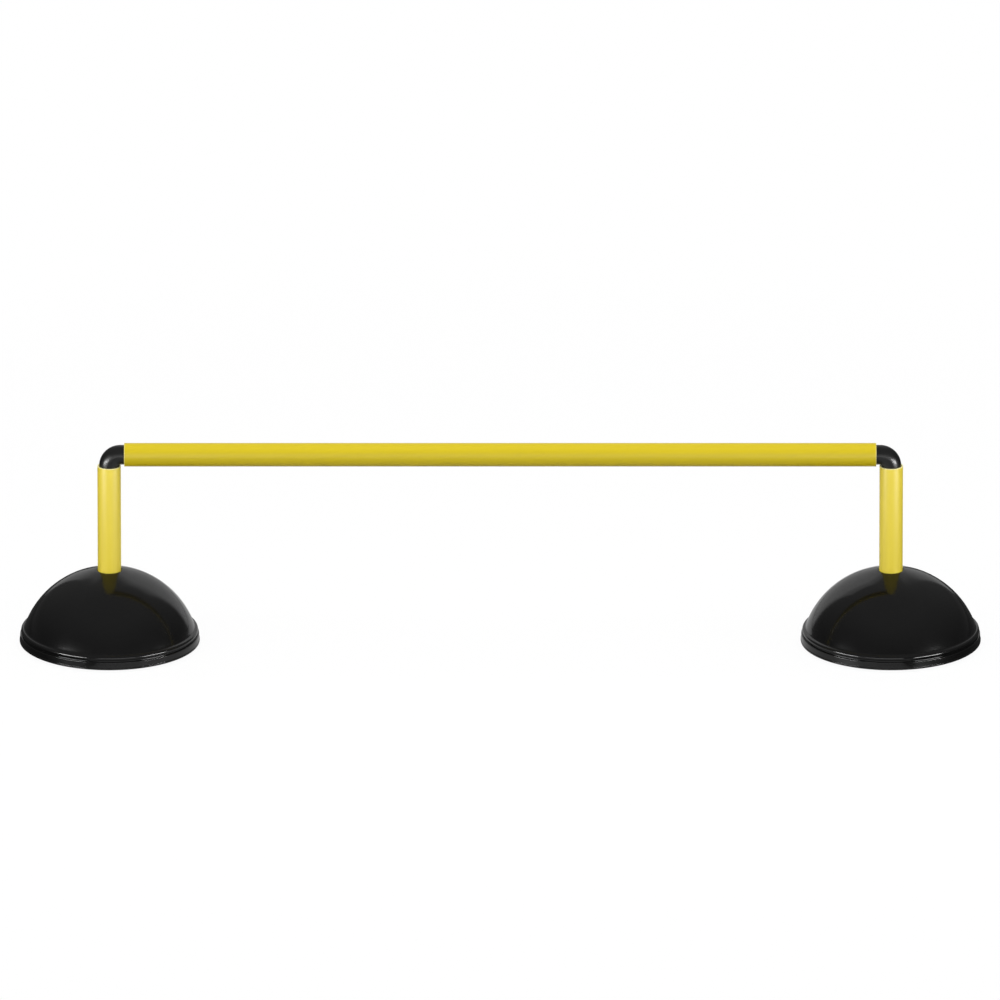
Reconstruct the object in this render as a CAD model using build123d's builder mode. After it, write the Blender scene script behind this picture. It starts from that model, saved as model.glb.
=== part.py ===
from build123d import *

import os
from math import cos, radians, sin, sqrt, tan

# Agility training hurdle: a plastic tube crossbar plugged by two elbows onto two short tube
# uprights, each standing in the socket of a weighted dome base. Millimetres, +Z up, +X along
# the crossbar, origin on the floor midway between the two bases.

os.makedirs("parts", exist_ok=True)

# Tube, the same for the crossbar and the uprights
tube_od = 25.0
tube_wall = 1.7
tube_edge_chamfer = 0.4
crossbar_length = 800.0
upright_length = 180.0

# Plug-in elbow
elbow_clearance = 0.3
elbow_wall = 2.6
elbow_inner_bend = 1.4
elbow_stub_to_crossbar = 4.1
elbow_stub_to_upright = 0.3
elbow_band_length = 6.0
spigot_length = 34.0
spigot_relief = 0.6
spigot_nose_chamfer = 0.8
spigot_rib_clearance = 0.1
spigot_rib_count = 6
spigot_rib_width = 1.6
spigot_rib_lead = 5.0
spigot_rib_nose = 3.0

# Dome shell: a spherical wall under a flatter crown, and a flared lip round its foot
dome_radius = 96.4
dome_centre_drop = 17.5
dome_wall = 3.2
crown_start_slope = 21.0
crown_radius = 300.0
mouth_clearance = 0.4
mouth_edge_radius = 0.7
crown_seat_depth = 6.9
lip_overhang = 1.2
lip_rim_height = 1.6
lip_rim_overhang = 0.5
lip_draft = 0.5
lip_shoulder_height = 12.4
lip_flare_radius = 26.0
lip_shoulder_radius = 2.2
lip_rim_edge_radius = 0.4
lip_wall = 5.6

# Cup that holds the upright, clamped between the crown and the base plate
socket_clearance = 0.6
socket_wall = 2.4
socket_floor = 3.0
socket_corner_chamfer = 1.0
socket_flange_width = 4.5
socket_flange_thickness = 2.6
socket_fin_count = 4
socket_fin_turn = 45.0
socket_fin_thickness = 2.4
socket_fin_height = 14.0
socket_fin_inset = 1.0
socket_rib_count = 6
socket_rib_width = 1.6
socket_rib_clearance = 0.15
socket_rib_lead = 6.0
socket_rib_margin = 3.0
upright_end_gap = 0.2

# Base plate closing the shell from below
plate_recess = 0.5
plate_thickness = 3.2
plate_edge_clearance = 0.3
plate_edge_chamfer = 0.5
plate_seat_width = 2.0
pillar_height = 10.1
pillar_wall = 2.4
pillar_cup_depth = 3.0
pillar_cup_clearance = 0.2
ring_gap = 3.0
ring_wall = 2.4
web_count = 8
web_thickness = 2.2

# Countersunk screws through the plate into bosses under the shell
screw_count = 4
screw_edge_distance = 8.7
screw_shank_radius = 1.9
screw_length = 16.0
screw_point_length = 3.0
screw_head_radius = 3.7
screw_head_angle = 90.0
screw_clearance = 0.1
boss_radius = 5.0
boss_pilot_spare = 2.0

# Rubber feet in pockets under the plate
foot_count = 4
foot_radius = 11.0
foot_inset = 8.0
foot_proud = 2.0
foot_pocket_depth = 1.4
foot_clearance = 0.15
foot_edge_chamfer = 0.6

# Ballast cast round the cup, under the crown
ballast_gap = 0.15
ballast_underside = 15.0

# Radii that follow
tube_radius = tube_od / 2
tube_bore_radius = tube_radius - tube_wall
elbow_radius = tube_bore_radius - elbow_clearance
elbow_bend_radius = elbow_radius + elbow_inner_bend
spigot_core_radius = elbow_radius - spigot_relief
spigot_rib_radius = tube_bore_radius - spigot_rib_clearance
mouth_radius = tube_radius + mouth_clearance
socket_radius = tube_radius + socket_clearance
socket_outer_radius = socket_radius + socket_wall
socket_flange_radius = socket_outer_radius + socket_flange_width
socket_rib_radius = tube_radius + socket_rib_clearance
dome_inner_radius = dome_radius - dome_wall
ballast_radius = dome_inner_radius - ballast_gap

# Heights that follow, from the floor up
lip_bottom = foot_proud
dome_centre = lip_bottom - dome_centre_drop
lip_shoulder = lip_bottom + lip_shoulder_height
plate_bottom = lip_bottom + plate_recess
plate_top = plate_bottom + plate_thickness
socket_bottom = plate_top + pillar_height
pillar_top = socket_bottom + pillar_cup_depth
socket_stop = socket_bottom + socket_floor
ballast_bottom = plate_top + ballast_underside
upright_bottom = socket_stop + upright_end_gap
upright_top = upright_bottom + upright_length
bar_axis = upright_top + elbow_stub_to_upright + elbow_bend_radius

# Places along the crossbar that follow
bar_end = crossbar_length / 2
base_axis_x = bar_end + elbow_stub_to_crossbar + elbow_bend_radius


def sphere_radius_at(height, sphere_radius):
    """Distance from a base's axis to one of the dome's concentric spheres."""
    return sqrt(sphere_radius**2 - (height - dome_centre) ** 2)


def sphere_height_at(radius, sphere_radius):
    """Height of one of the dome's concentric spheres at a distance from the axis."""
    return dome_centre + sqrt(sphere_radius**2 - radius**2)


# The lip stands out from the dome's foot
lip_radius = sphere_radius_at(lip_bottom, dome_radius) + lip_overhang
lip_inner_radius = lip_radius - lip_wall
lip_seat_radius = lip_inner_radius - plate_seat_width

# The screw bosses pass through the ballast inside its foot, and the feet and the ring are
# further in
ballast_foot_radius = sphere_radius_at(ballast_bottom, ballast_radius)
screw_pitch_radius = ballast_foot_radius - screw_edge_distance
foot_pitch_radius = screw_pitch_radius - foot_inset
foot_turn = 180 / screw_count
ring_radius = foot_pitch_radius - foot_radius - ring_gap

# The crown's flatter arc leaves the dome's sphere at a tangent
crown_start_radius = dome_radius * sin(radians(crown_start_slope))
crown_start_height = sphere_height_at(crown_start_radius, dome_radius)
crown_centre_radius = crown_start_radius - crown_radius * sin(radians(crown_start_slope))
crown_centre_height = crown_start_height - crown_radius * cos(radians(crown_start_slope))
mouth_height = crown_centre_height + sqrt(
    crown_radius**2 - (mouth_radius - crown_centre_radius) ** 2
)
crown_seat = mouth_height - crown_seat_depth
flange_bottom = crown_seat - socket_flange_thickness


def flare_centre(shoulder_radius):
    """Centre of the arc that leaves the dome at a tangent and ends on the lip's shoulder."""
    shoulder_rise = lip_shoulder - dome_centre
    reach = sqrt(shoulder_radius**2 + shoulder_rise**2)
    to_centre = dome_radius + lip_flare_radius
    along = (reach**2 + to_centre**2 - lip_flare_radius**2) / (2 * reach)
    aside = sqrt(to_centre**2 - along**2)
    return (
        (along * shoulder_radius - aside * shoulder_rise) / reach,
        dome_centre + (along * shoulder_rise + aside * shoulder_radius) / reach,
    )


def upright_section(side, angle=0.0):
    """Upright plane through a base's axis, its X outwards at an angle and its Y up."""
    turn = radians(angle)
    return Plane(
        origin=(side * base_axis_x, 0, 0),
        x_dir=(cos(turn), sin(turn), 0),
        z_dir=(sin(turn), -cos(turn), 0),
    )


def level_plane(side, height):
    """Level plane centred on a base's axis."""
    return Plane(origin=(side * base_axis_x, 0, height))


def plane_from_below(side, height):
    """Level plane centred on a base's axis that faces down, so that holes go up from it."""
    return Plane(origin=(side * base_axis_x, 0, height), x_dir=(1, 0, 0), z_dir=(0, 0, -1))


def base_axis(side):
    return Axis((side * base_axis_x, 0, 0), (0, 0, 1))


def polar_angles(count):
    return [index * 360 / count for index in range(count)]


def corner_at(sketch, radius, height):
    """The corner of an outline that is nearest to a point."""
    return sketch.vertices().sort_by_distance((radius, height, 0))[0]


def save(part, name):
    part.label = name
    export_step(part, f"parts/{name}.step")


def make_crossbar():
    with BuildPart() as crossbar:
        bar_start = Plane(origin=(-bar_end, 0, bar_axis), z_dir=(1, 0, 0))
        with BuildSketch(bar_start):
            Circle(tube_radius)
            Circle(tube_bore_radius, mode=Mode.SUBTRACT)
        extrude(amount=crossbar_length)
        chamfer(crossbar.edges().filter_by(GeomType.CIRCLE), tube_edge_chamfer)
    save(crossbar.part, "crossbar")


def make_upright(side, name):
    with BuildPart() as upright:
        with BuildSketch(level_plane(side, upright_bottom)):
            Circle(tube_radius)
            Circle(tube_bore_radius, mode=Mode.SUBTRACT)
        extrude(amount=upright_length)
        chamfer(upright.edges().filter_by(GeomType.CIRCLE), tube_edge_chamfer)
    save(upright.part, f"{name}_upright")


def elbow_path(side, reach_down_upright, reach_along_bar):
    """Centre line of the elbow, from inside the upright, round the bend, into the crossbar."""
    axis_x = side * base_axis_x
    bend_start = (axis_x, 0, bar_axis - elbow_bend_radius)
    bend_end = (axis_x - side * elbow_bend_radius, 0, bar_axis)
    bend_middle = (
        axis_x - side * elbow_bend_radius * (1 - cos(radians(45))),
        0,
        bar_axis - elbow_bend_radius * (1 - sin(radians(45))),
    )
    with BuildLine() as path:
        Line((axis_x, 0, upright_top - reach_down_upright), bend_start)
        ThreePointArc(bend_start, bend_middle, bend_end)
        Line(bend_end, (side * (bar_end - reach_along_bar), 0, bar_axis))
    return path.wire()


def spigot_rib_points():
    """Outline of a crush rib: distance from the spigot's axis, distance in from the tube's end."""
    rib_end = spigot_length - spigot_rib_nose
    root_radius = spigot_core_radius - elbow_wall / 2
    crest_radius = sqrt(spigot_rib_radius**2 - (spigot_rib_width / 2) ** 2)
    return [
        (root_radius, elbow_band_length),
        (crest_radius, elbow_band_length),
        (crest_radius, rib_end - spigot_rib_lead),
        (root_radius, rib_end),
    ]


def spigot_plane(tube_end, inwards, across, angle):
    """Plane through a spigot's axis: Y runs into the tube, X away from the axis at an angle."""
    away = Vector(across).rotate(Axis((0, 0, 0), inwards), angle)
    return Plane(origin=tube_end, x_dir=away, z_dir=away.cross(Vector(inwards)))


def make_elbow(side, name):
    nose_down = Plane(
        origin=(side * base_axis_x, 0, upright_top - spigot_length), z_dir=(0, 0, 1)
    )
    with BuildPart() as elbow:
        core_path = elbow_path(side, spigot_length, spigot_length)
        with BuildSketch(nose_down):
            Circle(spigot_core_radius)
        sweep(path=core_path)
        noses = elbow.edges().filter_by(GeomType.CIRCLE)
        chamfer(
            [noses.sort_by(Axis.Z)[0], noses.sort_by(Axis.X)[0 if side > 0 else -1]],
            spigot_nose_chamfer,
        )
        with BuildSketch(level_plane(side, upright_top - elbow_band_length)):
            Circle(elbow_radius)
        sweep(path=elbow_path(side, elbow_band_length, elbow_band_length))
        for angle in polar_angles(spigot_rib_count):
            for rib_plane in (
                spigot_plane((side * base_axis_x, 0, upright_top), (0, 0, -1), (1, 0, 0), angle),
                spigot_plane((side * bar_end, 0, bar_axis), (-side, 0, 0), (0, 1, 0), angle),
            ):
                with BuildSketch(rib_plane):
                    with BuildLine():
                        Polyline(*spigot_rib_points(), close=True)
                    make_face()
                extrude(amount=spigot_rib_width / 2, both=True)
        with BuildSketch(nose_down):
            Circle(spigot_core_radius - elbow_wall)
        sweep(path=core_path, mode=Mode.SUBTRACT)
    save(elbow.part, f"{name}_elbow")


def make_dome_shell(side, name):
    rim_inset_radius = lip_radius - lip_rim_overhang
    shoulder_radius = rim_inset_radius - lip_draft
    shoulder = (shoulder_radius, lip_shoulder)
    flare_centre_radius, flare_centre_height = flare_centre(shoulder_radius)
    dome_share = dome_radius / (dome_radius + lip_flare_radius)
    flare_start = (
        flare_centre_radius * dome_share,
        dome_centre + (flare_centre_height - dome_centre) * dome_share,
    )
    rim_top = lip_bottom + lip_rim_height
    with BuildPart() as dome_shell:
        with BuildSketch(level_plane(side, plate_top)):
            with PolarLocations(screw_pitch_radius, screw_count):
                Circle(boss_radius)
        extrude(amount=dome_radius)
        # The bosses end inside the wall of the dome
        with BuildSketch(upright_section(side)):
            with BuildLine():
                mid_wall_radius = dome_radius - dome_wall / 2
                apex = (0, dome_centre + mid_wall_radius)
                foot = (sphere_radius_at(plate_top, mid_wall_radius), plate_top)
                Polyline(apex, (0, plate_top), foot)
                RadiusArc(apex, foot, mid_wall_radius)
            make_face()
        revolve(axis=base_axis(side), mode=Mode.INTERSECT)
        with BuildSketch(upright_section(side)) as outline:
            with BuildLine():
                seat_end = (sphere_radius_at(crown_seat, dome_inner_radius), crown_seat)
                wall_foot = (lip_seat_radius, sphere_height_at(lip_seat_radius, dome_inner_radius))
                crown_start = (crown_start_radius, crown_start_height)
                Polyline(seat_end, (mouth_radius, crown_seat), (mouth_radius, mouth_height))
                RadiusArc((mouth_radius, mouth_height), crown_start, crown_radius)
                RadiusArc(crown_start, flare_start, dome_radius)
                RadiusArc(flare_start, shoulder, -lip_flare_radius)
                Polyline(
                    shoulder,
                    (rim_inset_radius, rim_top + lip_rim_overhang),
                    (lip_radius, rim_top),
                    (lip_radius, lip_bottom),
                    (lip_inner_radius, lip_bottom),
                    (lip_inner_radius, plate_top),
                    (lip_seat_radius, plate_top),
                    wall_foot,
                )
                RadiusArc(wall_foot, seat_end, -dome_inner_radius)
            make_face()
            fillet(corner_at(outline, *shoulder), lip_shoulder_radius)
            fillet(corner_at(outline, lip_radius, lip_bottom), lip_rim_edge_radius)
            fillet(corner_at(outline, lip_radius, rim_top), lip_rim_edge_radius)
            fillet(corner_at(outline, mouth_radius, mouth_height), mouth_edge_radius)
        revolve(axis=base_axis(side))
        with Locations(plane_from_below(side, plate_top)):
            with PolarLocations(screw_pitch_radius, screw_count):
                Hole(
                    screw_shank_radius + screw_clearance,
                    screw_length - plate_thickness + boss_pilot_spare,
                )
    save(dome_shell.part, f"{name}_dome_shell")


def socket_fin_points(growth):
    """Outline of a fin under the cup's flange, grown where it is cut from the ballast."""
    root_radius = socket_outer_radius - socket_wall / 2
    tip_radius = socket_flange_radius - socket_fin_inset + growth
    root_height = flange_bottom + socket_flange_thickness / 2
    return [
        (root_radius, root_height),
        (tip_radius, root_height),
        (tip_radius, flange_bottom - socket_fin_inset - growth),
        (socket_outer_radius + growth, flange_bottom - socket_fin_height - growth),
        (root_radius, flange_bottom - socket_fin_height - growth),
    ]


def make_pole_socket(side, name):
    with BuildPart() as pole_socket:
        with BuildSketch(upright_section(side)) as outline:
            with BuildLine():
                Polyline(
                    (0, socket_bottom),
                    (socket_outer_radius, socket_bottom),
                    (socket_outer_radius, flange_bottom),
                    (socket_flange_radius, flange_bottom),
                    (socket_flange_radius, crown_seat),
                    (socket_radius, crown_seat),
                    (socket_radius, socket_stop),
                    (0, socket_stop),
                    close=True,
                )
            make_face()
            chamfer(corner_at(outline, socket_outer_radius, socket_bottom), socket_corner_chamfer)
            chamfer(corner_at(outline, socket_radius, crown_seat), socket_corner_chamfer)
        revolve(axis=base_axis(side))
        for angle in polar_angles(socket_fin_count):
            with BuildSketch(upright_section(side, angle + socket_fin_turn)):
                with BuildLine():
                    Polyline(*socket_fin_points(0), close=True)
                make_face()
            extrude(amount=socket_fin_thickness / 2, both=True)
        crest_radius = sqrt(socket_rib_radius**2 + (socket_rib_width / 2) ** 2)
        rib_top = crown_seat - socket_rib_margin
        for angle in polar_angles(socket_rib_count):
            with BuildSketch(upright_section(side, angle)):
                with BuildLine():
                    Polyline(
                        (socket_radius + socket_wall / 2, socket_stop),
                        (crest_radius, socket_stop),
                        (crest_radius, rib_top - socket_rib_lead),
                        (socket_radius + socket_wall / 2, rib_top),
                        close=True,
                    )
                make_face()
            extrude(amount=socket_rib_width / 2, both=True)
    save(pole_socket.part, f"{name}_pole_socket")


def make_ballast(side, name):
    hole_radius = socket_outer_radius + ballast_gap
    flange_hole_radius = socket_flange_radius + ballast_gap
    ballast_top = crown_seat - ballast_gap
    with BuildPart() as ballast:
        with BuildSketch(upright_section(side)):
            with BuildLine():
                foot = (ballast_foot_radius, ballast_bottom)
                shoulder = (sphere_radius_at(ballast_top, ballast_radius), ballast_top)
                RadiusArc(shoulder, foot, ballast_radius)
                Polyline(
                    foot,
                    (hole_radius, ballast_bottom),
                    (hole_radius, flange_bottom - ballast_gap),
                    (flange_hole_radius, flange_bottom - ballast_gap),
                    (flange_hole_radius, ballast_top),
                    shoulder,
                )
            make_face()
        revolve(axis=base_axis(side))
        with BuildSketch(level_plane(side, ballast_bottom)):
            with PolarLocations(screw_pitch_radius, screw_count):
                Circle(boss_radius + ballast_gap)
        extrude(amount=dome_radius, mode=Mode.SUBTRACT)
        for angle in polar_angles(socket_fin_count):
            with BuildSketch(upright_section(side, angle + socket_fin_turn)):
                with BuildLine():
                    Polyline(*socket_fin_points(ballast_gap), close=True)
                make_face()
            extrude(
                amount=socket_fin_thickness / 2 + ballast_gap, both=True, mode=Mode.SUBTRACT
            )
    save(ballast.part, f"{name}_ballast")


def make_base_plate(side, name):
    plate_radius = lip_inner_radius - plate_edge_clearance
    cup_radius = socket_outer_radius + pillar_cup_clearance
    pillar_radius = cup_radius + pillar_wall
    web_top = ballast_bottom - ballast_gap
    with BuildPart() as base_plate:
        with BuildSketch(upright_section(side)) as outline:
            with BuildLine():
                Polyline(
                    (0, plate_bottom),
                    (plate_radius, plate_bottom),
                    (plate_radius, plate_top),
                    (ring_radius, plate_top),
                    (ring_radius, web_top),
                    (ring_radius - ring_wall, web_top),
                    (ring_radius - ring_wall, plate_top),
                    (pillar_radius, plate_top),
                    (pillar_radius, pillar_top),
                    (cup_radius, pillar_top),
                    (cup_radius, socket_bottom),
                    (cup_radius - pillar_wall, socket_bottom),
                    (cup_radius - pillar_wall, plate_top),
                    (0, plate_top),
                    close=True,
                )
            make_face()
            chamfer(corner_at(outline, plate_radius, plate_bottom), plate_edge_chamfer)
        revolve(axis=base_axis(side))
        web_start = pillar_radius - pillar_wall / 2
        web_end = ring_radius - ring_wall / 2
        for angle in polar_angles(web_count):
            with BuildSketch(upright_section(side, angle)):
                with BuildLine():
                    Polyline(
                        (web_start, plate_bottom + plate_thickness / 2),
                        (web_end, plate_bottom + plate_thickness / 2),
                        (web_end, web_top),
                        (web_start, socket_bottom),
                        close=True,
                    )
                make_face()
            extrude(amount=web_thickness / 2, both=True)
        with Locations(plane_from_below(side, plate_bottom)):
            with PolarLocations(screw_pitch_radius, screw_count):
                CounterSinkHole(
                    screw_shank_radius + screw_clearance,
                    screw_head_radius + screw_clearance,
                    plate_thickness,
                    screw_head_angle,
                )
        with Locations(plane_from_below(side, plate_bottom)):
            with PolarLocations(foot_pitch_radius, foot_count, start_angle=foot_turn):
                Hole(foot_radius + foot_clearance, foot_pocket_depth)
    save(base_plate.part, f"{name}_base_plate")


def screw_outline():
    """Half outline of a screw, head down: distance from its own axis, height."""
    cone_height = (screw_head_radius - screw_shank_radius) / tan(radians(screw_head_angle / 2))
    screw_top = plate_bottom + screw_length
    return [
        (0, plate_bottom),
        (screw_head_radius, plate_bottom),
        (screw_shank_radius, plate_bottom + cone_height),
        (screw_shank_radius, screw_top - screw_point_length),
        (0, screw_top),
    ]


def make_base_screws(side, name):
    outline = [(screw_pitch_radius + radius, height) for radius, height in screw_outline()]
    with BuildPart() as base_screws:
        for angle in polar_angles(screw_count):
            section = upright_section(side, angle)
            with BuildSketch(section):
                with BuildLine():
                    Polyline(*outline, close=True)
                make_face()
            screw_axis = Axis(section.from_local_coords((screw_pitch_radius, 0, 0)), (0, 0, 1))
            revolve(axis=screw_axis)
    save(base_screws.part, f"{name}_base_screws")


def make_foot_pads(side, name):
    with BuildPart() as foot_pads:
        with BuildSketch(level_plane(side, 0)):
            with PolarLocations(foot_pitch_radius, foot_count, start_angle=foot_turn):
                Circle(foot_radius)
        extrude(amount=plate_bottom + foot_pocket_depth)
        rims = foot_pads.edges().filter_by(GeomType.CIRCLE).group_by(Axis.Z)[0]
        chamfer(rims, foot_edge_chamfer)
    save(foot_pads.part, f"{name}_foot_pads")


make_crossbar()
for side, name in ((-1, "left"), (1, "right")):
    make_upright(side, name)
    make_elbow(side, name)
    make_dome_shell(side, name)
    make_pole_socket(side, name)
    make_ballast(side, name)
    make_base_plate(side, name)
    make_base_screws(side, name)
    make_foot_pads(side, name)
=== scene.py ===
from math import atan2, cos, degrees, hypot, pi, radians, sin, sqrt, tan

import bmesh
import bpy
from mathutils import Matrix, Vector


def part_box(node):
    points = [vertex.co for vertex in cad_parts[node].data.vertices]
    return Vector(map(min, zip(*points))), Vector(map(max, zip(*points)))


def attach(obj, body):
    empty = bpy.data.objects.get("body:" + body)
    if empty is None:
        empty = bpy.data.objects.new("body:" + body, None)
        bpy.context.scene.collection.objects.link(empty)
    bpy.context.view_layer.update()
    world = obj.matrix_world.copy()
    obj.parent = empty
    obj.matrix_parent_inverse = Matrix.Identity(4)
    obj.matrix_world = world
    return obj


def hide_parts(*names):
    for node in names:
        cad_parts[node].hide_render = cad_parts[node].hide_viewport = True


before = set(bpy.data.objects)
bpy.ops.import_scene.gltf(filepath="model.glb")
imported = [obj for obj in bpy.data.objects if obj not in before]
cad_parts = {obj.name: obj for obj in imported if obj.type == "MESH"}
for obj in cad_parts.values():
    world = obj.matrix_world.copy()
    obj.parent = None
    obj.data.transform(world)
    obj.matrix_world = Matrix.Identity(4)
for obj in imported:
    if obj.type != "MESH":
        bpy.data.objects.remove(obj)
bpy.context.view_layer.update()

mm = 0.001
sides = {"left": -1, "right": 1}

# Layout read from the frame, so that every piece sits where the CAD has it
barLow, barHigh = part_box("crossbar")
postLow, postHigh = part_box("right_upright")
shellLow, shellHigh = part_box("right_dome_shell")
padLow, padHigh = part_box("right_foot_pads")
screwLow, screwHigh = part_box("right_base_screws")
barAxis = (barLow[2] + barHigh[2]) / 2
barEnd = barHigh[0]
tubeRadius = (postHigh[0] - postLow[0]) / 2
postX = (postLow[0] + postHigh[0]) / 2  # both bases stand this far from the middle
print("frame loaded, bar axis at", round(barAxis / mm, 1), "mm")


# Helpers for objects and edit mode

def deselectAll():
    bpy.ops.object.select_all(action="DESELECT")


def activate(piece):
    deselectAll()
    piece.select_set(True)
    bpy.context.view_layer.objects.active = piece


def settle(piece, name):  # leaves the object at the origin, unturned and unscaled
    activate(piece)
    bpy.ops.object.transform_apply(location=True, rotation=True, scale=True)
    piece.name = name
    piece.data.name = name


def selectWhere(piece, kind, test):  # kind is verts, edges or faces; test gets the element
    bpy.ops.mesh.select_all(action="DESELECT")
    bpy.ops.mesh.select_mode(type={"verts": "VERT", "edges": "EDGE", "faces": "FACE"}[kind])
    shape = bmesh.from_edit_mesh(piece.data)
    count = 0
    for item in getattr(shape, kind):
        if test(item):
            item.select_set(True)
            count += 1
    shape.select_flush_mode()
    bmesh.update_edit_mesh(piece.data)
    return count


def cleanNormals():  # doubles first, then every face turned outwards
    bpy.ops.mesh.select_all(action="SELECT")
    bpy.ops.mesh.remove_doubles(threshold=0.002 * mm)
    bpy.ops.mesh.normals_make_consistent(inside=False)


def smoothShade(piece, angle=32):
    activate(piece)
    bpy.ops.object.shade_smooth_by_angle(angle=radians(angle))


def arcPoints(centre, radius, startAngle, endAngle, count):  # angles in degrees from the X axis
    points = []
    for step in range(count + 1):
        turn = radians(startAngle + (endAngle - startAngle) * step / count)
        points.append((centre[0] + radius * cos(turn), centre[1] + radius * sin(turn)))
    return points


def spinOutline(name, outline, axisX, steps):  # outline: closed loop of (radius, height) in metres
    deselectAll()
    bpy.ops.mesh.primitive_plane_add(size=mm, location=(0, 0, 0))
    piece = bpy.context.object
    bpy.ops.object.mode_set(mode="EDIT")
    bpy.ops.mesh.merge(type="CENTER")
    start = Vector((axisX + outline[0][0], 0, outline[0][1]))
    bpy.ops.transform.translate(value=start)
    for here, following in zip(outline, outline[1:]):
        move = (following[0] - here[0], 0, following[1] - here[1])
        bpy.ops.mesh.extrude_vertices_move(TRANSFORM_OT_translate={"value": move})
    ends = (start, Vector((axisX + outline[-1][0], 0, outline[-1][1])))
    if outline[0][0] > 0 or outline[-1][0] > 0:  # an outline that ends on the axis stays open
        selectWhere(piece, "verts", lambda v: min((v.co - end).length for end in ends) < 0.001 * mm)
        bpy.ops.mesh.edge_face_add()
    bpy.ops.mesh.select_all(action="SELECT")
    bpy.ops.mesh.spin(steps=steps, angle=2 * pi, center=(axisX, 0, 0), axis=(0, 0, 1))
    cleanNormals()
    bpy.ops.object.mode_set(mode="OBJECT")
    settle(piece, name)
    return piece


def placePiece(piece, body, node, slot, *materials):
    piece.data.materials.clear()
    for material in materials:
        piece.data.materials.append(material)
    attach(piece, body)
    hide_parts(node)


# Helpers for materials

def linearColour(code):  # "#rrggbb" in sRGB to the linear values that shaders take
    parts = [int(code[i:i + 2], 16) / 255 for i in (1, 3, 5)]
    return [c / 12.92 if c <= 0.04045 else ((c + 0.055) / 1.055) ** 2.4 for c in parts] + [1.0]


def addNode(tree, kind, inputs=None, **settings):  # inputs: {socket name or number: value or socket}
    node = tree.nodes.new(kind)
    for name, value in settings.items():
        setattr(node, name, value)
    for key, value in (inputs or {}).items():
        if isinstance(value, bpy.types.NodeSocket):
            tree.links.new(value, node.inputs[key])
        else:
            node.inputs[key].default_value = value
    return node


def startMaterial(name):
    material = bpy.data.materials.new(name)
    material.use_nodes = True
    tree = material.node_tree
    shader = tree.nodes["Principled BSDF"]
    coords = addNode(tree, "ShaderNodeTexCoord").outputs["Object"]
    return material, tree, shader, coords


def perMetre(*gaps):  # a pattern's scale along X, Y and Z, from its gaps in millimetres
    return [1 / (gap * mm) for gap in gaps]


def addNoise(tree, coords, gaps, detail=3.0, roughness=0.6):
    spread = addNode(tree, "ShaderNodeMapping", {"Vector": coords, "Scale": perMetre(*gaps)})
    return addNode(tree, "ShaderNodeTexNoise", {"Vector": spread.outputs[0], "Scale": 1.0,
                   "Detail": detail, "Roughness": roughness}).outputs["Fac"]


def addBump(tree, shader, height, depth, strength=1.0):  # depth in millimetres
    bump = addNode(tree, "ShaderNodeBump", {"Height": height, "Strength": strength,
                   "Distance": depth * mm})
    tree.links.new(bump.outputs[0], shader.inputs["Normal"])


def varyRoughness(tree, shader, fac, low, high, span=(0.35, 0.65)):
    spread = addNode(tree, "ShaderNodeMapRange", {0: fac, 1: span[0], 2: span[1], 3: low, 4: high})
    tree.links.new(spread.outputs[0], shader.inputs["Roughness"])


def mixColour(tree, fac, one, other):  # one and other are hex codes or sockets
    ends = [linearColour(end) if isinstance(end, str) else end for end in (one, other)]
    return addNode(tree, "ShaderNodeMix", {0: fac, 6: ends[0], 7: ends[1]},
                   data_type="RGBA").outputs[2]


def setBase(shader, ior, specular=0.5):
    shader.inputs["IOR"].default_value = ior
    shader.inputs["Specular IOR Level"].default_value = specular


# Camera: a long lens, level across, looking down a little, as in the photograph

camera = {
    "elevation": 19.56,  # degrees, from the roundness of the dome's foot
    "distance": 40.0,
    "frameWidth": 1.0645,  # metres across the 1000 pixels, from a tube of 25 mm
    "sensor": 36.0,
    "target": (-0.0002, 0.0169, 0.1541),  # midway in depth between the crossbar and the feet
}


def addCamera():
    tilt = radians(camera["elevation"])
    target = Vector(camera["target"])
    away = Vector((0, -cos(tilt), sin(tilt))) * camera["distance"]
    bpy.ops.object.camera_add(location=target + away, rotation=(radians(90) - tilt, 0, 0))
    lens = bpy.context.object
    lens.name = "photoCamera"
    lens.data.sensor_width = camera["sensor"]
    lens.data.lens = camera["sensor"] * camera["distance"] / camera["frameWidth"]
    lens.data.clip_end = 3 * camera["distance"]
    bpy.context.scene.camera = lens


addCamera()
print("camera set")


# Light: broad fills, front and back, that gloss doesn't mirror, and cards that only gloss mirrors:
# behind for the domes' crowns and inner sides, on the floor between them, and low in front for
# their lips

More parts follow.
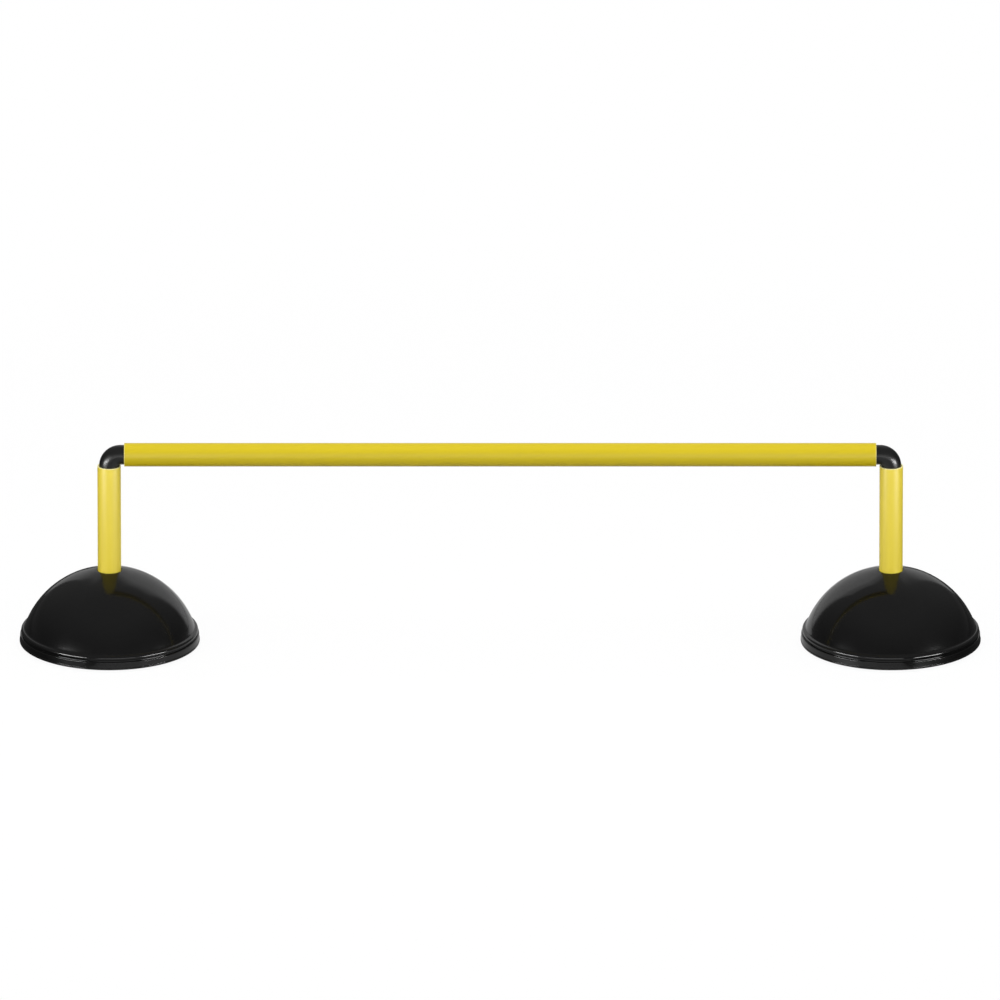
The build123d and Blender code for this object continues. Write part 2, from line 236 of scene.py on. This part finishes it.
lamps = {
    "overhead": {"size": (2.6, 1.6), "at": (0, 0.1, 1.9), "aim": (0, 0, 0.1), "watts": 24,
                 "lights": True, "mirrored": False},
    "front": {"size": (5.0, 1.6), "at": (0, -2.6, 1.0), "aim": (0, 0, 0.15), "watts": 50,
              "lights": True, "mirrored": False},
    "back": {"size": (5.0, 1.6), "at": (0, 2.6, 1.0), "aim": (0, 0, 0.15), "watts": 26,
             "lights": True, "mirrored": False},
    "leftFill": {"size": (0.8, 0.8), "at": (-1.75, -0.7, 0.5), "aim": (-0.416, 0, 0.15),
                 "watts": 7, "lights": True, "mirrored": False},
    "rightFill": {"size": (0.8, 0.8), "at": (1.75, -0.7, 0.5), "aim": (0.416, 0, 0.15),
                  "watts": 7, "lights": True, "mirrored": False},
    "narrowCard": {"size": (1.58, 1.4), "at": (0, 1.3, 0.7), "aim": (0, 0, 0.7), "watts": 4.0,
                   "lights": False, "mirrored": True},
    "wideCard": {"size": (1.86, 1.8), "at": (0, 1.3, 0.9), "aim": (0, 0, 0.9), "watts": 4.0,
                 "lights": False, "mirrored": True},
    "floorCard": {"size": (0.9, 1.4), "at": (0, 0.1, 0.001), "aim": (0, 0.1, 1), "watts": 2.2,
                  "lights": False, "mirrored": True},
    "middleStrip": {"size": (2.0, 0.5), "at": (0, -2.2, 0.3), "aim": (0, 0, 0.3), "watts": 11,
                    "lights": False, "mirrored": True},
    "leftStrip": {"size": (1.9, 0.3), "at": (-1.9, -1.65, 0.2), "aim": (0, -1.65, 0.2),
                  "watts": 76, "lights": False, "mirrored": True},
    "rightStrip": {"size": (1.9, 0.3), "at": (1.9, -1.65, 0.2), "aim": (0, -1.65, 0.2),
                   "watts": 76, "lights": False, "mirrored": True},
}
surround = {
    "air": "#939393", "paper": "#fcfcfc", "bounce": "#757575",
    "mirrored": "#404040", "mirroredLow": "#565656", "mirroredHigh": "#939393",  # for gloss
    "lowTo": 0.2, "highFrom": 0.85,  # heights of a direction between which that brightens
    "size": 60.0, "clear": 0.93, "clearFrom": 0.65, "clearTo": 1.3,  # shadow shows near the object
}


def addLamps():
    for name, lamp in lamps.items():
        at = Vector(lamp["at"])
        direction = Vector(lamp["aim"]) - at
        bpy.ops.object.light_add(
            type="AREA", location=at, rotation=direction.to_track_quat("-Z", "Y").to_euler()
        )
        light = bpy.context.object
        light.name = name + "Lamp"
        light.data.shape = "RECTANGLE"
        light.data.size, light.data.size_y = lamp["size"]
        light.data.energy = lamp["watts"]
        light.visible_camera = False
        light.visible_diffuse = lamp["lights"]
        light.visible_glossy = lamp["mirrored"]


def addSurround():
    world = bpy.data.worlds.new("studioAir")
    bpy.context.scene.world = world
    world.use_nodes = True
    tree = world.node_tree
    # The camera sees white above the floor's edge, and gloss sees a studio that is dark low down
    path = addNode(tree, "ShaderNodeLightPath")
    run = addNode(tree, "ShaderNodeTexCoord").outputs["Generated"]
    height = addNode(tree, "ShaderNodeSeparateXYZ", {0: run}).outputs[2]
    high = addNode(tree, "ShaderNodeMapRange", {0: height, 1: surround["lowTo"],
                   2: surround["highFrom"]}).outputs[0]
    graded = mixColour(tree, high, surround["mirroredLow"], surround["mirroredHigh"])
    colour = mixColour(tree, path.outputs["Is Glossy Ray"], surround["air"], graded)
    direct = addNode(tree, "ShaderNodeMath", {0: path.outputs["Is Camera Ray"],
                     1: path.outputs["Is Transmission Ray"]}, operation="MAXIMUM").outputs[0]
    colour = mixColour(tree, direct, colour, "#ffffff")
    tree.links.new(colour, tree.nodes["Background"].inputs["Color"])
    deselectAll()
    bpy.ops.mesh.primitive_plane_add(size=surround["size"], location=(0, 0, 0))
    floor = bpy.context.object
    settle(floor, "studioFloor")
    # White sweep paper: matt, and to the camera clear apart from the shadow on it, so that a base
    # that is pulled off below it shows too, before the white air
    material, tree, shader, coords = startMaterial("sweepPaper")
    shader.inputs["Roughness"].default_value = 0.9
    setBase(shader, 1.45, 0.0)
    path = addNode(tree, "ShaderNodeLightPath")
    direct = addNode(tree, "ShaderNodeMath", {0: path.outputs["Is Camera Ray"],
                     1: path.outputs["Is Transmission Ray"]}, operation="MAXIMUM").outputs[0]
    tone = mixColour(tree, path.outputs["Is Glossy Ray"], surround["bounce"], surround["mirrored"])
    tree.links.new(mixColour(tree, direct, tone, surround["paper"]), shader.inputs["Base Color"])
    away = addNode(tree, "ShaderNodeVectorMath", {0: coords}, operation="LENGTH").outputs["Value"]
    share = addNode(tree, "ShaderNodeMapRange", {0: away, 1: surround["clearFrom"],
                    2: surround["clearTo"], 3: surround["clear"], 4: 1.0}).outputs[0]
    share = addNode(tree, "ShaderNodeMath", {0: share, 1: direct}, operation="MULTIPLY").outputs[0]
    clear = addNode(tree, "ShaderNodeBsdfTransparent").outputs[0]
    mix = addNode(tree, "ShaderNodeMixShader", {0: share, 1: shader.outputs[0], 2: clear})
    tree.links.new(mix.outputs[0], tree.nodes["Material Output"].inputs["Surface"])
    floor.data.materials.append(material)


addLamps()
addSurround()
bpy.context.scene.view_settings.view_transform = "Standard"
print("lamps and floor set")


# Materials

tubeFinish = {
    "streakGap": 4.0, "streakRun": 260.0, "lineGap": 0.9, "lineDepth": 0.012,
    "scuffGap": 5.0, "paintedEndHighlight": 0.8,
}


def extrudedTube(name, colour, streak, paintedEndHighlight, along, low, high):
    # Rigid PVC tube, extruded and sawn to length: satin, with soft streaks and fine draw lines
    # along it from the die, a few dull handling scuffs, and a painted highlight: paler at each cut end
    material, tree, shader, coords = startMaterial(name)
    setBase(shader, 1.53, 0.25)
    finish = tubeFinish
    streakGaps = [finish["streakRun"] if axis == along else finish["streakGap"] for axis in range(3)]
    lineGaps = [finish["streakRun"] if axis == along else finish["lineGap"] for axis in range(3)]
    streaks = addNoise(tree, coords, streakGaps, 2.0)
    body = mixColour(tree, streaks, colour, streak)
    part = addNode(tree, "ShaderNodeSeparateXYZ", {0: coords}).outputs[along]
    middle, half = (low[along] + high[along]) / 2, (high[along] - low[along]) / 2
    off = addNode(tree, "ShaderNodeMath", {0: part, 1: middle}, operation="SUBTRACT").outputs[0]
    off = addNode(tree, "ShaderNodeMath", {0: off}, operation="ABSOLUTE").outputs[0]
    # Painted highlight: a narrow band at each cut end turns to a paler colour, standing in for light
    # caught by the cut edge
    atEnd = addNode(tree, "ShaderNodeMapRange", {0: off, 1: half - finish["paintedEndHighlight"] * mm,
                    2: half - finish["paintedEndHighlight"] * mm / 4}).outputs[0]
    tree.links.new(mixColour(tree, atEnd, body, paintedEndHighlight), shader.inputs["Base Color"])
    scuffs = addNoise(tree, coords, [finish["scuffGap"]] * 3, 6.0, 0.7)
    varyRoughness(tree, shader, scuffs, 0.4, 0.5, (0.5, 0.75))
    addBump(tree, shader, addNoise(tree, coords, lineGaps, 4.0), finish["lineDepth"], 0.5)
    return material


def glossShell(name, colour, smooth, dull):
    # ABS, injection moulded in a polished tool: near black, wet gloss, faint orange peel, and
    # slightly duller where hands have held it
    material, tree, shader, coords = startMaterial(name)
    shader.inputs["Base Color"].default_value = linearColour(colour)
    setBase(shader, 1.45, 0.45)
    addBump(tree, shader, addNoise(tree, coords, [7.0] * 3, 2.0), 0.01, 0.5)
    varyRoughness(tree, shader, addNoise(tree, coords, [70.0] * 3, 5.0), smooth, dull)
    return material


def mattMoulding(name, colour, roughness, grain, specular=0.5, depth=0.02):
    # Moulded in a spark-eroded tool: a fine even grain that scatters the light
    material, tree, shader, coords = startMaterial(name)
    shader.inputs["Base Color"].default_value = linearColour(colour)
    setBase(shader, 1.45, specular)
    pits = addNoise(tree, coords, [grain] * 3, 3.0, 0.7)
    addBump(tree, shader, pits, depth, 0.6)
    varyRoughness(tree, shader, addNoise(tree, coords, [12.0] * 3, 4.0), roughness - 0.05,
                  roughness + 0.07)
    return material


def mouldedRubber(name, colour, dust):
    # Rubber, compression moulded: dull black, with floor dust caught in its pores
    material, tree, shader, coords = startMaterial(name)
    setBase(shader, 1.52, 0.3)
    pores = addNoise(tree, coords, [0.8] * 3, 4.0, 0.7)
    patches = addNoise(tree, coords, [9.0] * 3, 4.0)
    caught = addNode(tree, "ShaderNodeMath", {0: pores, 1: patches}, operation="MULTIPLY").outputs[0]
    caught = addNode(tree, "ShaderNodeMapRange", {0: caught, 1: 0.2, 2: 0.5}).outputs[0]
    tree.links.new(mixColour(tree, caught, colour, dust), shader.inputs["Base Color"])
    varyRoughness(tree, shader, patches, 0.74, 0.9)
    addBump(tree, shader, pores, 0.06)
    return material


def castCement(name, pale, dark):
    # Cement mortar, poured and set: dull grey, sandy, blotched, with small air holes
    material, tree, shader, coords = startMaterial(name)
    setBase(shader, 1.5, 0.25)
    sand = addNoise(tree, coords, [1.2] * 3, 6.0, 0.75)
    blotch = addNoise(tree, coords, [28.0] * 3, 4.0)
    tone = addNode(tree, "ShaderNodeMath", {0: sand, 1: blotch}, operation="ADD").outputs[0]
    tone = addNode(tree, "ShaderNodeMapRange", {0: tone, 1: 0.75, 2: 1.25}).outputs[0]
    tree.links.new(mixColour(tree, tone, dark, pale), shader.inputs["Base Color"])
    holes = addNode(tree, "ShaderNodeTexVoronoi", {"Vector": coords, "Scale": perMetre(6.0)[0]})
    depth = addNode(tree, "ShaderNodeMapRange", {0: holes.outputs["Distance"], 1: 0.08,
                    2: 0.2}).outputs[0]
    height = addNode(tree, "ShaderNodeMath", {0: depth, 1: sand}, operation="ADD").outputs[0]
    varyRoughness(tree, shader, sand, 0.82, 0.95)
    addBump(tree, shader, height, 0.5)
    return material


def zincSteel(name, bright, film):
    # Steel, zinc plated: a bright grey metal under a faint cloudy film
    material, tree, shader, coords = startMaterial(name)
    shader.inputs["Metallic"].default_value = 1.0
    cloud = addNoise(tree, coords, [3.0] * 3, 4.0)
    tree.links.new(mixColour(tree, cloud, bright, film), shader.inputs["Base Color"])
    varyRoughness(tree, shader, cloud, 0.26, 0.42)
    addBump(tree, shader, addNoise(tree, coords, [0.5] * 3, 3.0), 0.01)
    return material


# The crossbar is the same PVC as the uprights; its yellows are set darker and deeper than theirs as
# painted shade
# The last colour given for each tube is the paler painted highlight at its cut ends
shadedBarYellow = extrudedTube("extrudedBarPvc", "#d6bf12", "#d0b90c", "#f3e690", 0, barLow, barHigh)
postYellow = extrudedTube("extrudedPostPvc", "#fae352", "#efd83e", "#fdf4ac", 2, postLow, postHigh)
shellGloss = glossShell("polishedDomeAbs", "#0b0b0b", 0.11, 0.18)
beadGloss = glossShell("rubbedBeadAbs", "#0b0b0b", 0.17, 0.23)
lipSatin = mattMoulding("satinLipAbs", "#222222", 0.62, 0.6, 0.12, 0.006)
elbowSatin = mattMoulding("mouldedElbowNylon", "#101010", 0.34, 0.4, 0.5)
socketMatt = mattMoulding("mouldedSocketAbs", "#161616", 0.6, 0.6)
plateMatt = mattMoulding("mouldedPlateAbs", "#141414", 0.62, 0.7)
padRubber = mouldedRubber("mouldedPadRubber", "#121212", "#3a3936")
ballastCement = castCement("castBallastCement", "#9a968c", "#6f6c64")
screwZinc = zincSteel("zincPlatedScrewSteel", "#c3c6c9", "#a9a89c")
print("materials made")


# Tubes: crossbar and uprights

tube = {"wall": 1.7, "edge": 0.35, "edgeSteps": 3, "sides": 128}


def makeTube(name, low, high, along):
    centre = [(low[i] + high[i]) / 2 for i in range(3)]
    length = high[along] - low[along]
    turn = (0, radians(90), 0) if along == 0 else (0, 0, 0)
    deselectAll()
    bpy.ops.mesh.primitive_cylinder_add(vertices=tube["sides"], radius=tubeRadius, depth=length,
                                        end_fill_type="NGON", location=centre, rotation=turn)
    piece = bpy.context.object
    settle(piece, name)
    bpy.ops.object.mode_set(mode="EDIT")

    def atEnd(point):
        return min(abs(point[along] - low[along]), abs(point[along] - high[along])) < 0.01 * mm

    selectWhere(piece, "faces", lambda f: len(f.verts) > 4)
    bpy.ops.mesh.inset(thickness=tube["wall"] * mm, depth=0)
    bpy.ops.mesh.bridge_edge_loops()  # the two inner discs become the bore
    selectWhere(piece, "edges", lambda e: all(atEnd(v.co) for v in e.verts)
                and abs(e.calc_face_angle(0)) > 1)
    bpy.ops.mesh.bevel(offset=tube["edge"] * mm, segments=tube["edgeSteps"], affect="EDGES")
    cleanNormals()
    bpy.ops.object.mode_set(mode="OBJECT")
    smoothShade(piece)
    return piece


placePiece(makeTube("crossbarTube", barLow, barHigh, 0), "crossbar", "crossbar", "bar_tube", shadedBarYellow)
for side in sides:
    post = makeTube(side + "UprightTube", *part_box(side + "_upright"), 2)
    placePiece(post, side + "_upright", side + "_upright", "upright_tube", postYellow)
print("tubes made")


# Elbows: a hollow quarter bend with a ribbed spigot in each tube

elbow = {
    "bore": 10.8, "radius": 10.5, "coreRadius": 9.9, "wall": 2.6, "innerBend": 1.4,
    "stubToBar": 4.1, "band": 6.0, "spigot": 34.0, "nose": 0.8, "sides": 72, "bendSteps": 24,
    "ribs": 6, "ribHeight": 0.8, "seamRise": 0.12,
}


def pushRing(move, centre, scale):
    bpy.ops.mesh.extrude_region_move(TRANSFORM_OT_translate={"value": move})
    if scale != 1:
        bpy.ops.transform.resize(value=(scale, scale, scale), center_override=centre)


def makeElbow(side, sign):
    bend = (elbow["radius"] + elbow["innerBend"]) * mm
    axisX = sign * postX
    tubeTop = postHigh[2]
    core = elbow["coreRadius"]
    nose = core - elbow["nose"]
    stations = [  # distance along the spigot from its nose, radius
        (elbow["nose"], core), (elbow["spigot"] - elbow["band"], core),
        (elbow["spigot"] - elbow["band"], elbow["radius"]),
    ]
    start = tubeTop - elbow["spigot"] * mm
    deselectAll()
    bpy.ops.mesh.primitive_circle_add(vertices=elbow["sides"], radius=nose * mm,
                                      fill_type="NOTHING", location=(axisX, 0, start))
    piece = bpy.context.object
    settle(piece, side + "ElbowBend")
    bpy.ops.object.mode_set(mode="EDIT")
    bpy.ops.mesh.select_all(action="SELECT")
    here, radius = 0.0, nose
    for distance, wanted in stations:
        centre = (axisX, 0, start + distance * mm)
        pushRing((0, 0, (distance - here) * mm), centre, wanted / radius)
        here, radius = distance, wanted
    bendStart = barAxis - bend
    pushRing((0, 0, bendStart - start - here * mm), (axisX, 0, bendStart), 1)
    hub = (axisX - sign * bend, 0, bendStart)
    bpy.ops.mesh.spin(steps=elbow["bendSteps"], angle=radians(-90), center=hub, axis=(0, -sign, 0))
    barNose = sign * (barEnd - elbow["spigot"] * mm)
    x = axisX - sign * bend
    for distance, wanted in reversed([(0.0, nose)] + stations):
        toX = barNose + sign * distance * mm
        pushRing((toX - x, 0, 0), (toX, 0, barAxis), wanted / radius)
        x, radius = toX, wanted
    cleanNormals()
    bpy.ops.object.mode_set(mode="OBJECT")
    wall = piece.modifiers.new("wall", "SOLIDIFY")
    wall.thickness = elbow["wall"] * mm
    wall.offset = -1
    wall.use_even_offset = True
    bpy.ops.object.modifier_apply(modifier="wall")
    bpy.ops.object.mode_set(mode="EDIT")
    ribTurn = radians(360 / elbow["ribs"])
    ribHalf = radians(360 / elbow["sides"])
    inset = elbow["band"] * mm

    def isRib(face):  # outer faces of the two spigots, at the ribs' angles
        c = face.calc_center_median()
        if abs(face.normal.dot(Vector((0, 0, 1)))) < 0.1 and start < c.z < tubeTop - inset:
            u, v = c.x - axisX, c.y
            outwards = face.normal.x * u + face.normal.y * v
        elif abs(face.normal.x) < 0.1 and sign * barNose < sign * c.x < barEnd - inset:
            u, v = c.y, c.z - barAxis
            outwards = face.normal.y * u + face.normal.z * v
        else:
            return False
        off = abs((atan2(v, u) + ribTurn / 2) % ribTurn - ribTurn / 2)
        return outwards > 0 and off < ribHalf and hypot(u, v) > (core - 0.2) * mm

    if selectWhere(piece, "faces", isRib):
        bpy.ops.mesh.extrude_region_shrink_fatten(
            TRANSFORM_OT_shrink_fatten={"value": elbow["ribHeight"] * mm})

    def onSeam(vert):  # the mould's parting line round the outside of the bend
        along = Vector((axisX, 0, 0)) - Vector((hub[0], 0, 0))
        fromHub = Vector((vert.co.x - hub[0], 0, vert.co.z - hub[2]))
        inBend = fromHub.dot(along) > 0 and vert.co.z > hub[2] + 0.2 * mm
        reach = fromHub.length - bend
        return inBend and abs(vert.co.y) < 0.01 * mm and abs(abs(reach) - elbow["radius"] * mm) < 0.05 * mm

    selectWhere(piece, "verts", onSeam)
    bpy.ops.transform.shrink_fatten(value=elbow["seamRise"] * mm)
    bpy.ops.object.mode_set(mode="OBJECT")
    smoothShade(piece, 40)
    return piece


for side, sign in sides.items():
    placePiece(makeElbow(side, sign), side + "_elbow", side + "_elbow", "elbow", elbowSatin)
print("elbows made")


# Dome shells: one spun wall from the mouth, over the dome, round the lip and back inside

dome = {
    "radius": 96.4, "centreDrop": 17.5, "wall": 3.2, "crownSlope": 21.0, "crownRadius": 300.0,
    "mouthGap": 0.4, "mouthEdge": 0.7, "seatDepth": 6.9, "rimHeight": 1.6, "rimOverhang": 0.5,
    "draft": 0.2, "beadHeight": 11.8, "beadRadius": 2.9, "beadInset": 1.7, "flare": 2.0,
    "tuck": 40.0, "recessInset": 2.7, "ledgeHeight": 8.4, "ledgeFall": 0.2, "ledgeEdge": 0.6,
    "rimEdge": 0.4,
    "lipWall": 5.6, "seatWidth": 2.0, "seatHeight": 3.7, "turns": 192,
}


def meetCircles(one, oneRadius, two, twoRadius):  # the higher of the two crossings
    gap = (Vector(two) - Vector(one)).length
    along = (gap**2 + oneRadius**2 - twoRadius**2) / (2 * gap)
    aside = sqrt(oneRadius**2 - along**2)
    run = (Vector(two) - Vector(one)).normalized()
    across = Vector((-run.y, run.x))
    ends = [Vector(one) + run * along + across * aside, Vector(one) + run * along - across * aside]
    return max(ends, key=lambda point: point.y)


def angleTo(centre, point):
    return degrees(atan2(point[1] - centre[1], point[0] - centre[0]))


def roundCorner(before, corner, after, radius, count):  # fillet between two straight runs
    toBefore = (before - corner).normalized()
    toAfter = (after - corner).normalized()
    half = toBefore.angle(toAfter) / 2
    centre = corner + (toBefore + toAfter).normalized() * radius / sin(half)
    startAngle = angleTo(centre, corner + toBefore * radius / tan(half))
    endAngle = angleTo(centre, corner + toAfter * radius / tan(half))
    sweep = (endAngle - startAngle + 180) % 360 - 180
    return arcPoints(centre, radius, startAngle, startAngle + sweep, count)


def domeOutline():  # from the mouth's inner edge over the dome, round the lip and back inside
    bottom = shellLow[2] / mm
    lipRadius = (shellHigh[0] - postX) / mm
    mouth = tubeRadius / mm + dome["mouthGap"]
    innerRadius = lipRadius - dome["lipWall"]
    seatRadius = innerRadius - dome["seatWidth"]
    innerWall = dome["radius"] - dome["wall"]
    bead = dome["beadRadius"]
    heart = Vector((0, bottom - dome["centreDrop"]))
    crownTurn = 90 - dome["crownSlope"]  # where the flatter crown meets the dome
    crownRay = Vector((cos(radians(crownTurn)), sin(radians(crownTurn))))
    crownHeart = heart + crownRay * (dome["radius"] - dome["crownRadius"])
    mouthRise = sqrt(dome["crownRadius"]**2 - (mouth - crownHeart.x)**2)
    mouthTop = Vector((mouth, crownHeart.y + mouthRise))
    crownRun = Vector((mouthRise, crownHeart.x - mouth))
    seat = mouthTop.y - dome["seatDepth"]
    rimTop = Vector((lipRadius, bottom + dome["rimHeight"]))
    sideFoot = rimTop + Vector((-1, 1)) * dome["rimOverhang"]
    beadHeart = Vector((lipRadius - dome["beadInset"] - bead, bottom + dome["beadHeight"]))
    flareHeart = meetCircles(heart, dome["radius"] + dome["flare"], beadHeart, bead + dome["flare"])
    flareStart = heart.lerp(flareHeart, dome["radius"] / (dome["radius"] + dome["flare"]))
    beadTurn = angleTo(beadHeart, flareHeart)
    foot = Vector((lipRadius, bottom))
    footEnd = Vector((innerRadius, bottom))
    wallFoot = heart.y + sqrt(innerWall**2 - seatRadius**2)
    seatEnd = sqrt(innerWall**2 - (seat - heart.y)**2)
    plateSeat = bottom + dome["seatHeight"]

    points = roundCorner(Vector((mouth, seat)), mouthTop, mouthTop + crownRun, dome["mouthEdge"], 5)
    crownStart = angleTo(crownHeart, points[-1])
    points += arcPoints(crownHeart, dome["crownRadius"], crownStart, crownTurn, 10)[1:]
    points += arcPoints(heart, dome["radius"], crownTurn, angleTo(heart, flareStart), 44)[1:]
    points += arcPoints(flareHeart, dome["flare"], angleTo(flareHeart, flareStart) % 360,
                        angleTo(flareHeart, beadHeart) % 360, 8)[1:]
    points += arcPoints(beadHeart, bead, beadTurn, -dome["tuck"], 14)[1:]
    recess = lipRadius - dome["recessInset"]
    ledge = Vector((recess, bottom + dome["ledgeHeight"]))
    bandTop = Vector((sideFoot.x - dome["draft"], ledge.y - dome["ledgeFall"]))
    points += [(recess, points[-1][1] - dome["ledgeFall"]), ledge]
    points += roundCorner(ledge, bandTop, sideFoot, dome["ledgeEdge"], 4)
    points += roundCorner(bandTop, sideFoot, rimTop, 0.2, 2)
    points += roundCorner(sideFoot, rimTop, foot, dome["rimEdge"], 3)
    points += roundCorner(rimTop, foot, footEnd, dome["rimEdge"], 3)
    points += [footEnd, (innerRadius, plateSeat), (seatRadius, plateSeat)]
    points += arcPoints(heart, innerWall, angleTo(heart, (seatRadius, wallFoot)),
                        angleTo(heart, (seatEnd, seat)), 30)
    points += [(mouth, seat)]
    return [(radius * mm, height * mm) for radius, height in points]


def makeShell(side, sign):
    piece = spinOutline(side + "DomeShell", domeOutline(), sign * postX, dome["turns"])
    smoothShade(piece, 30)
    bandTop = shellLow[2] + (dome["ledgeHeight"] + 0.1) * mm
    beadTop = shellLow[2] + (dome["beadHeight"] + dome["beadRadius"]) * mm
    lipInside = shellHigh[0] - postX - 5 * mm
    for face in piece.data.polygons:
        c = face.center
        outside = hypot(c.x - sign * postX, c.y) > lipInside
        face.material_index = (c.z < beadTop) + (c.z < bandTop) if outside else 0
    return piece


for side, sign in sides.items():
    placePiece(makeShell(side, sign), side + "_base", side + "_dome_shell", "base_shell",
               shellGloss, beadGloss, lipSatin)
print("dome shells made")


# Rubber pads, each with a moulded grip ring and a dimple below

pad = {
    "radius": 11.0, "edge": 0.6, "ringOut": 8.2, "ringIn": 6.6, "ringDepth": 0.6, "slant": 0.3,
    "dimple": 2.4, "dimpleDepth": 0.5, "count": 4, "turn": 45.0, "sides": 64,
}


def ringOf(piece, sign, pitch, count, turn, name):  # copies a piece round a base's axis
    copies = []
    for index in range(count):
        angle = radians(turn + index * 360 / count)
        activate(piece)
        bpy.ops.object.duplicate(linked=False)
        copy = bpy.context.object
        copy.location = (sign * postX + pitch * cos(angle), pitch * sin(angle), 0)
        copy.rotation_euler = (0, 0, angle)
        copies.append(copy)
    deselectAll()
    for copy in copies:
        copy.select_set(True)
    bpy.context.view_layer.objects.active = copies[0]
    bpy.ops.object.transform_apply(location=True, rotation=True, scale=True)
    bpy.ops.object.join()
    settle(bpy.context.object, name)
    return bpy.context.object


def makePad():
    top = padHigh[2] / mm
    slant = pad["slant"]
    corner = pad["radius"] - pad["edge"]
    outline = [(0, top), (pad["radius"], top)]
    outline += arcPoints((corner, pad["edge"]), pad["edge"], 0, -90, 5)
    outline += [
        (pad["ringOut"], 0), (pad["ringOut"] - slant, pad["ringDepth"]),
        (pad["ringIn"] + slant, pad["ringDepth"]), (pad["ringIn"], 0),
        (pad["dimple"], 0), (pad["dimple"] - slant, pad["dimpleDepth"]), (0, pad["dimpleDepth"]),
    ]
    piece = spinOutline("pad", [(radius * mm, height * mm) for radius, height in outline], 0,
                        pad["sides"])
    smoothShade(piece)
    return piece


onePad = makePad()
padPitch = (padHigh[0] - postX - pad["radius"] * mm) / cos(radians(pad["turn"]))
for side, sign in sides.items():
    placePiece(ringOf(onePad, sign, padPitch, pad["count"], pad["turn"], side + "FootPads"),
               side + "_base", side + "_foot_pads", "feet", padRubber)
bpy.data.objects.remove(onePad)
print("pads made")


# Countersunk screws with a cross recess, heads down and flush with the plate

screw = {
    "headRadius": 3.7, "shankRadius": 1.9, "pointLength": 3.0, "headEdge": 0.25, "count": 4,
    "armLength": 4.4, "armWidth": 0.95, "recessDepth": 1.5, "recessTaper": 0.55, "sides": 48,
}


def makeScrew():
    bottom, top = screwLow[2] / mm, screwHigh[2] / mm
    head, shank = screw["headRadius"], screw["shankRadius"]
    neck = bottom + screw["headEdge"] + head - shank  # a right-angled cone
    outline = [
        (0, bottom), (head - screw["headEdge"] / 2, bottom), (head, bottom + screw["headEdge"] / 2),
        (head, bottom + screw["headEdge"]), (shank, neck), (shank, top - screw["pointLength"]),
        (0, top),
    ]
    piece = spinOutline("screw", [(radius * mm, height * mm) for radius, height in outline], 0,
                        screw["sides"])
    for turn in (0, 90):
        deselectAll()
        depth = screw["recessDepth"] * 2 * mm
        bpy.ops.mesh.primitive_cube_add(size=1, location=(0, 0, bottom * mm),
                                        rotation=(0, 0, radians(turn)),
                                        scale=(screw["armLength"] * mm, screw["armWidth"] * mm, depth))
        cutter = bpy.context.object
        bpy.ops.object.mode_set(mode="EDIT")
        selectWhere(cutter, "faces", lambda f: f.calc_center_median().z > 0.1)
        bpy.ops.transform.resize(value=(screw["recessTaper"], screw["recessTaper"], 1))
        bpy.ops.object.mode_set(mode="OBJECT")
        activate(piece)
        recess = piece.modifiers.new("recess", "BOOLEAN")
        recess.operation = "DIFFERENCE"
        recess.object = cutter
        bpy.ops.object.modifier_apply(modifier="recess")
        bpy.data.objects.remove(cutter)
    smoothShade(piece)
    return piece


oneScrew = makeScrew()
screwPitch = screwHigh[0] - postX - screw["headRadius"] * mm
for side, sign in sides.items():
    placePiece(ringOf(oneScrew, sign, screwPitch, screw["count"], 0, side + "BaseScrews"),
               side + "_base", side + "_base_screws", "screws", screwZinc)
bpy.data.objects.remove(oneScrew)
print("screws made")


# CAD nodes that keep their shape

for side in sides:
    for node, material in (("pole_socket", socketMatt), ("base_plate", plateMatt),
                           ("ballast", ballastCement)):
        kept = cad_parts[side + "_" + node]
        kept.data.materials.clear()
        kept.data.materials.append(material)
print("finishes on the CAD nodes set")
